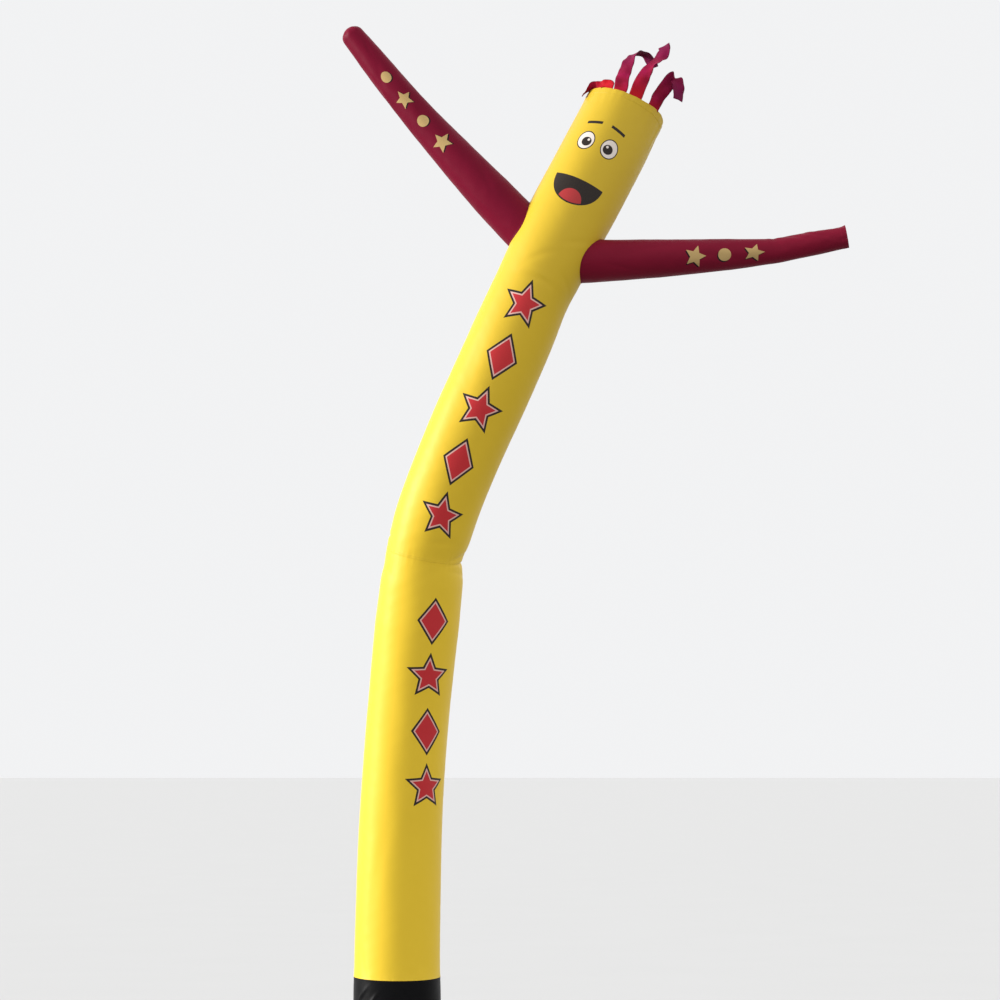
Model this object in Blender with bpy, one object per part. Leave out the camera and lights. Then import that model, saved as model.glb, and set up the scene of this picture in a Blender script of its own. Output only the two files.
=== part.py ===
"""Inflatable air dancer: a leaning cloth tube with two sleeves and four hair streamers.

The frame is +Z up and +X to the right as seen from the front, which faces -Y. The origin is
the middle of the hem at the foot, where the sleeve is drawn over its blower's outlet.
"""
import math

import bmesh
import bpy
from mathutils import Matrix, Vector

# Driving dimensions, in metres
TUBE_DIAMETER = 0.457       # sewn to fit an 18 inch blower outlet
CLOTH = 0.002               # thickness of a layer of cloth
GAP = 0.0003                # left between two pieces sewn to each other
BASE_LENGTH = 0.61          # the black collar
MID_SEAM = 2.88             # from the foot along the tube to the seam at the bend
CHEST = 4.15                # from the foot along the tube to the length with the arm holes
NECK = 4.90                 # from the foot along the tube to the length with the head
RIM = 5.53                  # from the foot along the tube to the top of the head
LEFT_SHOULDER = 4.61        # from the foot along the tube to where the left arm's axis starts
RIGHT_SHOULDER = 4.565
HEM_WIDTH = 0.03
HEM_EXTRA = 0.0012          # a hem stands out from its cloth by this much
STREAMER_WIDTH = 0.075
STREAMER_CLOTH = 0.0012
STREAMER_SEWN = 0.035       # how far a streamer reaches down inside the rim
STREAMER_CLEARS = 0.002     # and how far above the rim it stays upright
STREAMER_SEAT = CLOTH + 0.0017  # from the rim's outer face in to the middle of a streamer

# Fineness of the facets
TUBE_SEGMENTS = 40
ARM_SEGMENTS = 24
RING_SPACING = 0.15
CREASE_SPACING = 0.045      # closer rings beside the bend
CREASE_REACH = 0.18
SPINE_STEP = 0.01
DOME_RINGS = 4
HEM_EDGE = 0.0005           # length of the slope up onto a hem
WELD = 0.00001              # points closer than this are one
SHARP_ANGLE = 40             # degrees, past which an edge stays sharp

# A row for each stretch of the body. right and forward are how far it leans, in degrees, and
# girth is its diameter as a share of TUBE_DIAMETER.
BODY_COLUMNS = ("along", "right", "forward", "girth")
BODY_ROWS = (
    (0.00, 0.0, 0.0, 1.022),
    (0.56, 0.2, 3.0, 1.018),
    (0.66, 0.6, 3.0, 1.004),
    (1.10, 1.3, 4.0, 0.985),
    (1.70, 4.0, 6.0, 0.962),
    (2.10, 5.5, 7.5, 0.960),
    (2.50, 6.3, 9.0, 0.982),
    (2.74, 6.0, 11.0, 0.960),
    (2.88, 11.0, 12.0, 0.925),
    (3.02, 17.5, 11.0, 0.940),
    (3.30, 22.0, 8.0, 0.945),
    (3.70, 25.0, 5.0, 0.968),
    (4.10, 23.5, 2.0, 0.958),
    (4.42, 24.5, -3.0, 0.935),
    (4.90, 27.5, -11.0, 0.980),
    (5.30, 26.5, -17.0, 0.980),
    (5.60, 26.0, -19.0, 0.972),
)

# A row for each soft dent of the body: where its middle is, with azimuth in degrees from the
# front towards the right, how deep it is, and how far it reaches along and round the tube.
DENT_COLUMNS = ("along", "azimuth", "depth", "reach", "spread")
DENT_ROWS = (
    (2.88, 95, 0.016, 0.07, 55),
    (2.80, -80, 0.007, 0.05, 35),
    (2.96, -75, 0.005, 0.08, 30),
    (4.36, 80, 0.008, 0.12, 40),
    (5.50, 92, 0.006, 0.09, 20),
)

# The arms' rows start on the body's axis. diameter is in metres.
ARM_COLUMNS = ("along", "right", "forward", "diameter")
LEFT_ARM_ROWS = (
    (0.00, -42.5, -10.0, 0.243),
    (0.24, -42.5, -10.0, 0.243),
    (0.46, -42.0, -10.0, 0.236),
    (0.70, -41.5, -10.0, 0.213),
    (0.93, -40.5, -10.0, 0.188),
    (1.16, -39.0, -10.0, 0.166),
    (1.39, -37.5, -10.0, 0.153),
    (1.50, -37.5, -10.0, 0.143),
    (1.66, -37.5, -10.0, 0.125),
)
RIGHT_ARM_ROWS = (
    (0.00, 88.5, 5.0, 0.228),
    (0.25, 88.5, 5.0, 0.227),
    (0.60, 88.0, 5.0, 0.204),
    (0.98, 87.0, 5.0, 0.165),
    (1.17, 86.0, 5.0, 0.136),
    (1.27, 79.5, 5.0, 0.131),
    (1.46, 79.5, 5.0, 0.125),
    (1.61, 80.0, 5.0, 0.113),
)
ARM_STARTS = 0.05           # from the body's axis, inside the body, to where an arm is cut from
LEFT_ELBOW = 0.93           # where the left arm's outer length begins
LEFT_ARM_DOME = 1.66        # where its round tip begins
LEFT_ARM_TIP = 1.72
RIGHT_ARM_END = 1.605

# A streamer's root is its azimuth on the rim. Its rows are points in the rim's own frame, in
# millimetres from the rim's middle. Its width points along the azimuth across, tilted upwards.
STREAMER_COLUMNS = ("right", "front", "up", "across", "tilt")
STREAMERS = {
    "streamer_1": (-38, (
        (-136, 171, 28, 50, 0),
        (-146, 148, 42, 40, 40),
        (-168, 122, 32, 26, 74),
        (-190, 97, 38, 12, 50),
        (-207, 74, 36, 0, 12),
        (-234, 48, -2, 0, -25),
        (-241, 36, -24, 0, -50),
    )),
    "streamer_2": (-17, (
        (-66, 208, 36, 74, 0),
        (-84, 191, 103, 66, 0),
        (-95, 170, 201, 54, 0),
        (-94, 155, 273, 32, 0),
        (-72, 145, 311, 15, 0),
        (-32, 135, 323, 20, 0),
        (2, 125, 307, 35, 0),
        (32, 115, 275, 50, 0),
    )),
    "streamer_3": (7, (
        (24, 216, 34, 97, 0),
        (18, 221, 95, 88, 0),
        (16, 223, 162, 64, 0),
        (23, 223, 221, 40, 0),
        (39, 220, 267, 50, 0),
        (50, 214, 309, 78, 0),
        (47, 206, 357, 88, 0),
        (36, 200, 385, 90, 0),
    )),
    "streamer_4": (38, (
        (136, 173, 34, 126, 0),
        (137, 184, 100, 114, 0),
        (147, 196, 165, 100, 0),
        (158, 209, 216, 94, 0),
        (176, 217, 222, 92, 0),
        (202, 219, 186, 98, 0),
        (222, 217, 148, 104, 0),
        (238, 213, 112, 100, 0),
    )),
}
STREAMER_STEPS = 4          # smooth steps between two rows of a streamer
STREAMER_FACES = 3          # faces across a streamer

# Colours
YELLOW = (0.87, 0.68, 0.06)
RED = (0.33, 0.012, 0.035)
BLACK = (0.008, 0.008, 0.01)


def clear_scene():
    for obj in list(bpy.data.objects):
        bpy.data.objects.remove(obj, do_unlink=True)


def cloth_material(name, colour):
    material = bpy.data.materials.new(name)
    material.use_nodes = True
    shader = material.node_tree.nodes["Principled BSDF"]
    shader.inputs["Base Color"].default_value = (*colour, 1.0)
    shader.inputs["Roughness"].default_value = 0.5
    shader.inputs["Metallic"].default_value = 0.0
    return material


def smooth_step(share):
    return share * share * (3.0 - 2.0 * share)


def value_at(rows, columns, column, along):
    """A column's value at a length along, between two rows."""
    place = columns.index(column)
    if along <= rows[0][0]:
        return rows[0][place]
    for row, following in zip(rows, rows[1:]):
        if along <= following[0]:
            share = (along - row[0]) / (following[0] - row[0])
            return row[place] + (following[place] - row[place]) * share
    return rows[-1][place]


class Spine:
    """The middle line of a tube, worked out from how far it leans at each length along it."""

    def __init__(self, start, rows, columns):
        self.rows = rows
        self.columns = columns
        self.points = [Vector(start)]
        steps = math.ceil(rows[-1][0] / SPINE_STEP)
        for step in range(steps):
            middle = (step + 0.5) * SPINE_STEP
            self.points.append(self.points[-1] + self.axis(middle) * SPINE_STEP)

    def axis(self, along):
        right = math.radians(value_at(self.rows, self.columns, "right", along))
        forward = math.radians(value_at(self.rows, self.columns, "forward", along))
        return Vector((
            math.cos(forward) * math.sin(right),
            -math.sin(forward),
            math.cos(forward) * math.cos(right),
        ))

    def point(self, along):
        step = min(int(along / SPINE_STEP), len(self.points) - 2)
        share = along / SPINE_STEP - step
        return self.points[step].lerp(self.points[step + 1], share)

    def place(self, along):
        """The section's frame: X to its right, -Y to its front and Z along the tube."""
        axis = self.axis(along)
        front = Vector((0.0, -1.0, 0.0))
        front = (front - axis * front.dot(axis)).normalized()
        right = axis.cross(front)
        frame = Matrix((right, -front, axis)).transposed().to_4x4()
        frame.translation = self.point(along)
        return frame


def body_radius(along, azimuth):
    """The body's outer radius, with its soft dents. azimuth is in radians."""
    radius = TUBE_DIAMETER / 2 * value_at(BODY_ROWS, BODY_COLUMNS, "girth", along)
    for middle, dent_azimuth, depth, reach, spread in DENT_ROWS:
        turn = math.degrees(azimuth) - dent_azimuth
        turn = (turn + 180.0) % 360.0 - 180.0
        distance = ((along - middle) / reach) ** 2 + (turn / spread) ** 2
        radius -= depth * math.exp(-distance)
    return radius


def arm_radius(rows):
    def radius(along, azimuth):
        return value_at(rows, ARM_COLUMNS, "diameter", along) / 2
    return radius


def stations(start, stop, spacing):
    count = max(1, round((stop - start) / spacing))
    return [start + (stop - start) * step / count for step in range(count + 1)]


def sweep(bm, segments, sections):
    """Carries a circle through (frame, radius at azimuth) sections and returns its loops."""
    loop = bmesh.ops.create_circle(bm, cap_ends=False, segments=segments, radius=1.0)["verts"]
    azimuths = {vert: math.atan2(vert.co.x, -vert.co.y) for vert in loop}
    loops = []
    for frame, radius_at in sections:
        if loops:
            made = bmesh.ops.extrude_edge_only(bm, edges=loops[-1][1])["geom"]
            behind = set(loop)
            loop = [vert for vert in made if isinstance(vert, bmesh.types.BMVert)]
            for vert in loop:
                others = [edge.other_vert(vert) for edge in vert.link_edges]
                azimuths[vert] = next(azimuths[other] for other in others if other in behind)
        ring = set(loop)
        for vert in loop:
            azimuth = azimuths[vert]
            radius = radius_at(azimuth)
            vert.co = frame @ Vector((math.sin(azimuth) * radius, -math.cos(azimuth) * radius, 0.0))
        edges = {edge for vert in loop for edge in vert.link_edges if edge.other_vert(vert) in ring}
        loops.append((loop, list(edges)))
    return loops


def finish_mesh(bm, name, material):
    bmesh.ops.recalc_face_normals(bm, faces=bm.faces[:])
    mesh = bpy.data.meshes.new(name)
    bm.to_mesh(mesh)
    bm.free()
    mesh.materials.append(material)
    mesh.shade_smooth()
    mesh.set_sharp_from_angle(angle=math.radians(SHARP_ANGLE))
    obj = bpy.data.objects.new(name, mesh)
    bpy.context.collection.objects.link(obj)
    return obj


def wall(spine, levels, radius, inwards):
    """Sections at each (along, extra) level, set inwards from the outer face."""
    sections = []
    for along, extra in levels:
        def radius_at(azimuth, along=along, extra=extra):
            return radius(along, azimuth) + extra - inwards
        sections.append((spine.place(along), radius_at))
    return sections


def dome(spine, start, tip, radius, inwards):
    """Sections of a round tip, from its first ring to a ring that is nearly a point."""
    sections = []
    for ring in range(1, DOME_RINGS + 1):
        angle = math.pi / 2 * ring / DOME_RINGS
        along = start + (tip - inwards - start) * math.sin(angle)
        reach = max((radius(start, 0.0) - inwards) * math.cos(angle), WELD * 10)
        sections.append((spine.place(along), lambda azimuth, reach=reach: reach))
    return sections


def hem_levels(start, stop):
    """The outer face's levels for a hem that begins at start and ends at a free edge, stop."""
    step = HEM_EDGE if stop > start else -HEM_EDGE
    return [(start, 0.0), (start + step, HEM_EXTRA), (stop, HEM_EXTRA)]


def open_tube(name, spine, radius, levels, segments, material):
    """A tube of cloth, open at both ends: up its outer face, down its inner one and closed."""
    plain = [(along, 0.0) for along, extra in levels]
    sections = wall(spine, levels, radius, 0.0) + wall(spine, plain[::-1], radius, CLOTH)
    bm = bmesh.new()
    sweep(bm, segments, sections + sections[:1])
    bmesh.ops.remove_doubles(bm, verts=bm.verts, dist=WELD)
    return finish_mesh(bm, name, material)


def closed_sleeve(name, spine, radius, levels, tip, segments, material):
    """A tube of cloth, open at its start and closed by a round tip."""
    start = levels[-1][0]
    outer = wall(spine, levels, radius, 0.0) + dome(spine, start, tip, radius, 0.0)
    inner = wall(spine, levels, radius, CLOTH) + dome(spine, start, tip, radius, CLOTH)
    bm = bmesh.new()
    loops = sweep(bm, segments, outer[::-1] + inner)
    for verts, edges in (loops[0], loops[-1]):
        middle = sum((vert.co for vert in verts), Vector()) / len(verts)
        bmesh.ops.pointmerge(bm, verts=verts, merge_co=middle)
    return finish_mesh(bm, name, material)


def solid_tube(name, spine, radius, alongs, segments, material):
    """A closed solid that fills a stretch of tube, used as a cutter."""
    bm = bmesh.new()
    loops = sweep(bm, segments, wall(spine, [(along, 0.0) for along in alongs], radius, 0.0))
    for verts, edges in (loops[0], loops[-1]):
        bmesh.ops.contextual_create(bm, geom=edges)
    cutter = finish_mesh(bm, name, material)
    cutter.hide_render = True
    cutter.display_type = "WIRE"
    return cutter


def cut(obj, cutter):
    modifier = obj.modifiers.new("cut_" + cutter.name, "BOOLEAN")
    modifier.operation = "DIFFERENCE"
    modifier.object = cutter


def smooth_path(points, steps):
    """Points on a curve through each given point (Catmull-Rom)."""
    ends = [points[0] * 2 - points[1]] + points + [points[-1] * 2 - points[-2]]
    path = []
    for before, here, there, after in zip(ends, ends[1:], ends[2:], ends[3:]):
        for step in range(steps):
            t = step / steps
            path.append(0.5 * (
                here * 2
                + (there - before) * t
                + (before * 2 - here * 5 + there * 4 - after) * t ** 2
                + (here * 3 - before - there * 3 + after) * t ** 3
            ))
    path.append(points[-1])
    return path


def streamer_places(root_azimuth, rows, rim_radius):
    """A streamer's points, each with its width's azimuth and tilt and how far it follows the rim."""
    root = math.radians(root_azimuth)
    outwards = Vector((math.sin(root), -math.cos(root), 0.0))
    places = []
    for up in (-STREAMER_SEWN, -STREAMER_SEWN / 2, STREAMER_CLEARS):
        point = outwards * (rim_radius - STREAMER_SEAT) + Vector((0.0, 0.0, up))
        places.append((point, root_azimuth + 90, 0, 1.0))
    for right, front, up, across, tilt in rows:
        point = Vector((right, -front, up)) / 1000
        places.append((point, across, tilt, 0.0))
    return places


def streamer(name, root_azimuth, rows, rim, rim_radius, material):
    """A ribbon sewn inside the rim, whose root follows the rim's curve."""
    places = streamer_places(root_azimuth, rows, rim_radius)
    path = smooth_path([place[0] for place in places], STREAMER_STEPS)
    bm = bmesh.new()
    loops = []
    for index, point in enumerate(path):
        before = path[max(index - 1, 0)]
        after = path[min(index + 1, len(path) - 1)]
        along = (after - before).normalized()
        row = min(index // STREAMER_STEPS, len(places) - 2)
        share = smooth_step(index / STREAMER_STEPS - row)
        azimuth, tilt, follows_rim = (
            here * (1 - share) + there * share
            for here, there in zip(places[row][1:], places[row + 1][1:])
        )
        azimuth = math.radians(azimuth)
        level = math.cos(math.radians(tilt))
        across = Vector((
            math.sin(azimuth) * level,
            -math.cos(azimuth) * level,
            math.sin(math.radians(tilt)),
        ))
        across = (across - along * across.dot(along)).normalized()
        normal = across.cross(along)
        line = []
        for face in range(STREAMER_FACES + 1):
            offset = STREAMER_WIDTH * (face / STREAMER_FACES - 0.5)
            sag = offset ** 2 / (2 * (rim_radius - STREAMER_SEAT)) * follows_rim
            line.append(bm.verts.new(rim @ (point + across * offset - normal * sag)))
        loops.append([bm.edges.new(pair) for pair in zip(line, line[1:])])
    for edges, following in zip(loops, loops[1:]):
        bmesh.ops.bridge_loops(bm, edges=edges + following)
    obj = finish_mesh(bm, name, material)
    thickness = obj.modifiers.new("thickness", "SOLIDIFY")
    thickness.thickness = STREAMER_CLOTH
    thickness.offset = 0.0
    return obj


def upper_stations():
    """The upper body's rings, from the seam at the bend to the chest."""
    crease_ends = MID_SEAM + CREASE_REACH
    alongs = stations(MID_SEAM + GAP / 2, crease_ends, CREASE_SPACING)
    return alongs + stations(crease_ends, CHEST - GAP / 2, RING_SPACING)[1:]


def chest_stations():
    """The rings of the length with the arm holes, from the chest to the neck."""
    return stations(CHEST + GAP / 2, NECK - GAP / 2, RING_SPACING)


def make_body(body, yellow, black):
    """The black collar and the four yellow lengths, and returns the one with the arm holes."""
    levels = hem_levels(HEM_WIDTH, 0.0)[::-1]
    levels += [(along, 0.0) for along in stations(HEM_WIDTH, BASE_LENGTH - GAP / 2, RING_SPACING)[1:]]
    open_tube("base_sleeve", body, body_radius, levels, TUBE_SEGMENTS, black)

    crease_starts = MID_SEAM - CREASE_REACH
    levels = stations(BASE_LENGTH + GAP / 2, crease_starts, RING_SPACING)
    levels += stations(crease_starts, MID_SEAM - GAP / 2, CREASE_SPACING)[1:]
    levels = [(along, 0.0) for along in levels]
    open_tube("body_lower", body, body_radius, levels, TUBE_SEGMENTS, yellow)

    levels = [(along, 0.0) for along in upper_stations()]
    open_tube("body_upper", body, body_radius, levels, TUBE_SEGMENTS, yellow)

    alongs = stations(NECK + GAP / 2, RIM - HEM_WIDTH, RING_SPACING)[:-1]
    levels = [(along, 0.0) for along in alongs] + hem_levels(RIM - HEM_WIDTH, RIM)
    open_tube("body_head", body, body_radius, levels, TUBE_SEGMENTS, yellow)

    levels = [(along, 0.0) for along in chest_stations()]
    return open_tube("body_chest", body, body_radius, levels, TUBE_SEGMENTS, yellow)


def make_arms(body, chest, red):
    """Two tapered sleeves, each cut to the body's curve, and the holes that feed them."""
    left = Spine(body.point(LEFT_SHOULDER), LEFT_ARM_ROWS, ARM_COLUMNS)
    right = Spine(body.point(RIGHT_SHOULDER), RIGHT_ARM_ROWS, ARM_COLUMNS)
    left_radius = arm_radius(LEFT_ARM_ROWS)
    right_radius = arm_radius(RIGHT_ARM_ROWS)

    levels = [(along, 0.0) for along in stations(ARM_STARTS, LEFT_ELBOW - GAP / 2, RING_SPACING)]
    arm_left = open_tube("arm_left", left, left_radius, levels, ARM_SEGMENTS, red)
    levels = [(along, 0.0) for along in stations(LEFT_ELBOW + GAP / 2, LEFT_ARM_DOME, RING_SPACING)]
    closed_sleeve("arm_left_end", left, left_radius, levels, LEFT_ARM_TIP, ARM_SEGMENTS, red)
    levels = [(along, 0.0) for along in stations(ARM_STARTS, RIGHT_ARM_END - HEM_WIDTH, RING_SPACING)]
    levels = levels[:-1] + hem_levels(RIGHT_ARM_END - HEM_WIDTH, RIGHT_ARM_END)
    arm_right = open_tube("arm_right", right, right_radius, levels, ARM_SEGMENTS, red)

    def trunk(along, azimuth):
        return body_radius(along, azimuth) + GAP
    plug = solid_tube("trunk_cutter", body, trunk, chest_stations(), TUBE_SEGMENTS, red)
    cut(arm_left, plug)
    cut(arm_right, plug)

    sides = (("left_hole_cutter", left, left_radius), ("right_hole_cutter", right, right_radius))
    for name, spine, radius in sides:
        def bore(along, azimuth):
            return radius(along, azimuth) - CLOTH
        cut(chest, solid_tube(name, spine, bore, (ARM_STARTS, TUBE_DIAMETER), ARM_SEGMENTS, red))


def make_streamers(body, red):
    rim = body.place(RIM)
    for name, (root_azimuth, rows) in STREAMERS.items():
        rim_radius = body_radius(RIM, math.radians(root_azimuth))
        streamer(name, root_azimuth, rows, rim, rim_radius, red)


def main():
    clear_scene()
    yellow = cloth_material("yellow_nylon", YELLOW)
    red = cloth_material("red_nylon", RED)
    black = cloth_material("black_nylon", BLACK)
    body = Spine((0.0, 0.0, 0.0), BODY_ROWS, BODY_COLUMNS)
    chest = make_body(body, yellow, black)
    make_arms(body, chest, red)
    make_streamers(body, red)


main()
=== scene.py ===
# %% [markdown]
# An inflatable air dancer is a tall tube of light nylon that a blower keeps upright. Its collar, body
# and arms are cloth under a little pressure, so each is a tube whose middle line leans and bends,
# and four loose ribbons blow about at its top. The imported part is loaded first: it gives the size
# that the cloth has to keep to.

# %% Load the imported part
import math

import bmesh
import bpy
import numpy as np
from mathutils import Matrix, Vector


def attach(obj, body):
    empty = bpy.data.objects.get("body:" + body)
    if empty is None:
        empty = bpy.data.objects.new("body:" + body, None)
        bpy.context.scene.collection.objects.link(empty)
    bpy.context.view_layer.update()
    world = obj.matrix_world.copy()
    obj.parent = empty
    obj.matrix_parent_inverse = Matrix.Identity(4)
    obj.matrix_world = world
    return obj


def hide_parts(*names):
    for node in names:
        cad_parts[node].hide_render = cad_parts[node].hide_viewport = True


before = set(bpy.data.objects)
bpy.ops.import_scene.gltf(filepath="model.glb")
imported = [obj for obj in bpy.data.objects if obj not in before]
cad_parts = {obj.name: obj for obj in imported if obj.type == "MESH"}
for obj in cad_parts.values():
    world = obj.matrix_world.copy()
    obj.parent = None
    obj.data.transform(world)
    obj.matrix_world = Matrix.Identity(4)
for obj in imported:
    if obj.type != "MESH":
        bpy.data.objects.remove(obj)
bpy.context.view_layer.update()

# %% [markdown]
# The photograph is taken to be from near the ground with a long lens, so the camera stands far off
# and looks up a little. The studio is a pale floor, a pale sky and one broad lamp low on the left,
# which leaves only a bright strip down the left side of the tube.

# %% Camera and studio
CAMERA_PLACE = (0.552, -18.0, 1.7)
CAMERA_PITCH = 4.66         # degrees above level
CAMERA_LENS = 120
CAMERA_SENSOR = 36
CAMERA_SEES = 2000          # metres, so that the floor's far edge isn't cut off
LAMP_TURN = -88             # degrees from the front towards the right
LAMP_HEIGHT = 13            # degrees above level
LAMP_STRENGTH = 4.1
LAMP_BREADTH = 24           # degrees, for a soft edge between light and shade
LAMP_COLOUR = (1.0, 0.985, 0.96)
SKY_COLOUR = (0.985, 0.99, 1.0, 1.0)
SKY_SEEN = 0.90             # as the camera sees it
SKY_LOW = 1.22              # as a light, at the horizon
SKY_HIGH = 0.90             # as a light, straight above
SKY_UNDER = 0.30            # as a light, from below

camera = bpy.data.objects.new("camera", bpy.data.cameras.new("camera"))
camera.location = CAMERA_PLACE
camera.rotation_euler = (math.radians(90 + CAMERA_PITCH), 0, 0)
camera.data.lens = CAMERA_LENS
camera.data.sensor_width = CAMERA_SENSOR
camera.data.clip_end = CAMERA_SEES
bpy.context.collection.objects.link(camera)
bpy.context.scene.camera = camera
bpy.context.scene.view_settings.view_transform = "Standard"

lamp = bpy.data.objects.new("lamp", bpy.data.lights.new("lamp", "SUN"))
turn, height = math.radians(LAMP_TURN), math.radians(LAMP_HEIGHT)
towards_lamp = Vector((
    math.sin(turn) * math.cos(height), -math.cos(turn) * math.cos(height), math.sin(height)))
lamp.rotation_euler = towards_lamp.to_track_quat("Z", "Y").to_euler()
lamp.data.energy = LAMP_STRENGTH
lamp.data.angle = math.radians(LAMP_BREADTH)
lamp.data.color = LAMP_COLOUR
bpy.context.collection.objects.link(lamp)


# %% [markdown]
# A finish is a material whose maths is written as Python expressions. Value wraps a socket, so that
# a sum or a product of values adds its Math nodes. Every other node comes from one method.

# %% Shader expressions
class Value:
    """The output of a node, which Python's operators can work on."""

    def __init__(self, finish, socket):
        self.finish = finish
        self.socket = socket

    def __add__(self, other):
        return self.finish.maths("ADD", self, other)

    def __radd__(self, other):
        return self.finish.maths("ADD", other, self)

    def __sub__(self, other):
        return self.finish.maths("SUBTRACT", self, other)

    def __rsub__(self, other):
        return self.finish.maths("SUBTRACT", other, self)

    def __mul__(self, other):
        return self.finish.maths("MULTIPLY", self, other)

    def __rmul__(self, other):
        return self.finish.maths("MULTIPLY", other, self)

    def __truediv__(self, other):
        return self.finish.maths("DIVIDE", self, other)

    def __lt__(self, other):
        return self.finish.maths("LESS_THAN", self, other)

    def __gt__(self, other):
        return self.finish.maths("GREATER_THAN", self, other)

    def __abs__(self):
        return self.finish.maths("ABSOLUTE", self)

    def at_most(self, other):
        return self.finish.maths("MINIMUM", self, other)

    def at_least(self, other):
        return self.finish.maths("MAXIMUM", self, other)

    def clamped(self):
        return self.at_least(0.0).at_most(1.0)

    def there_and_back(self, step):
        """Runs from 0 up to step and back again, over and over."""
        return self.finish.maths("PINGPONG", self, step)


class Finish:
    """A material with one shader, whose constants are set on the shader's own sockets."""

    def __init__(self, name, tree=None, **constants):
        if tree is None:
            self.material = bpy.data.materials.new(name)
            self.material.use_nodes = True
            tree = self.material.node_tree
            self.shader = tree.nodes["Principled BSDF"]
            for socket, value in constants.items():
                self.shader.inputs[socket.replace("_", " ")].default_value = value
        self.tree = tree

    def feed(self, socket, value):
        if isinstance(value, Value):
            self.tree.links.new(value.socket, socket)
        else:
            socket.default_value = value

    def node(self, kind, settings=None, inputs=None, output=0):
        """Any node: its settings first, then the values or links of its sockets."""
        made = self.tree.nodes.new(kind)
        for key, value in (settings or {}).items():
            setattr(made, key, value)
        for key, value in (inputs or {}).items():
            self.feed(made.inputs[key], value)
        return Value(self, made.outputs[output])

    def maths(self, operation, *values):
        return self.node("ShaderNodeMath", {"operation": operation}, dict(enumerate(values)))

    def length(self, x, y):
        return self.maths("SQRT", x * x + y * y)

    def colour(self, share, low, high):
        """A colour between low and high, or between two linked colours."""
        low, high = ((*c, 1.0) if isinstance(c, tuple) else c for c in (low, high))
        settings = {"data_type": "RGBA"}
        return self.node("ShaderNodeMix", settings, {0: share, 6: low, 7: high}, output=2)

    def parts(self, vector):
        split = self.node("ShaderNodeSeparateXYZ", None, {0: vector}).socket.node
        return [Value(self, socket) for socket in split.outputs]

    def map(self, name):
        """The two values of a UV map, in metres."""
        return self.parts(self.node("ShaderNodeUVMap", {"uv_map": name}))[:2]

    def noise(self, place, scale, detail=2.0):
        return self.node("ShaderNodeTexNoise", None,
                         {"Vector": place, "Scale": scale, "Detail": detail})

    def object_place(self):
        return self.node("ShaderNodeTexCoord", output="Object")

    def set(self, socket, value):
        self.feed(self.shader.inputs[socket], value)

    def bumped(self, strength, distance, height):
        """Turns a height into fine bumps of the surface."""
        inputs = {"Strength": strength, "Distance": distance, "Height": height}
        self.set("Normal", self.node("ShaderNodeBump", None, inputs))


# %% [markdown]
# The floor is plain, with a faint mottle so that it isn't one flat tone. The sky is evenly pale for
# the camera. As a light it is brightest at the horizon, like a ring of soft boxes. The floor throws
# no soft light back up. A weaker light from below stands for it, so that what faces down is darker
# than what faces up.

# %% Floor and sky
FLOOR_PALE = (0.625, 0.625, 0.622)
FLOOR_DARKER = (0.610, 0.610, 0.607)
FLOOR_RADIUS = 900
MOTTLE_SCALE = 0.8
bm = bmesh.new()
bmesh.ops.create_circle(bm, cap_ends=True, segments=96, radius=FLOOR_RADIUS)
floor_mesh = bpy.data.meshes.new("floor")
bm.to_mesh(floor_mesh)
bm.free()
floor = bpy.data.objects.new("floor", floor_mesh)
floor.visible_diffuse = False
bpy.context.collection.objects.link(floor)
floor_finish = Finish("floor_pale", Roughness=0.9, Specular_IOR_Level=0.1)
mottle = floor_finish.noise(floor_finish.object_place(), MOTTLE_SCALE)
floor_finish.set("Base Color", floor_finish.colour(mottle, FLOOR_PALE, FLOOR_DARKER))
floor_mesh.materials.append(floor_finish.material)

world = bpy.data.worlds.new("sky")
world.use_nodes = True
bpy.context.scene.world = world
sky = Finish("sky", tree=world.node_tree)
seen = sky.node("ShaderNodeLightPath", output="Is Camera Ray")
background = world.node_tree.nodes["Background"]
background.inputs["Color"].default_value = SKY_COLOUR
upwards = sky.parts(sky.node("ShaderNodeTexCoord", output="Generated"))[2]
above = (upwards * 8.0 + 0.5).clamped()
light = above * (SKY_LOW - SKY_UNDER) + SKY_UNDER + upwards.at_least(0.0) * (SKY_HIGH - SKY_LOW)
sky.feed(background.inputs["Strength"], seen * SKY_SEEN + (1.0 - seen) * light)
print("camera, lamp, floor and sky are in place")

# %% [markdown]
# The cloth follows the lines that the part was cut to. Each row says how far the tube leans to the
# right and towards the viewer at a length along it, and how wide it is there.

# %% Lines of the tube and its arms
TUBE_DIAMETER = 0.457
CLOTH = 0.002
BASE_LENGTH = 0.61
MID_SEAM = 2.88
RIM = 5.53
LEFT_SHOULDER = 4.61
RIGHT_SHOULDER = 4.565
HEM_WIDTH = 0.03
HEM_RISE = 0.0012
RIM_REACH = 0.15            # the length below the rim over which its edge rises
RIM_LIFT = 0.012            # how far it rises all round
RIM_PEAK = 0.024            # and how much more at its peak
RIM_PEAK_AT = 62            # degrees
GAP = 0.0003
LINE_STEP = 0.01
LINE_REACH = 0.10           # how far a line runs on past its last row, for a round tip

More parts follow.
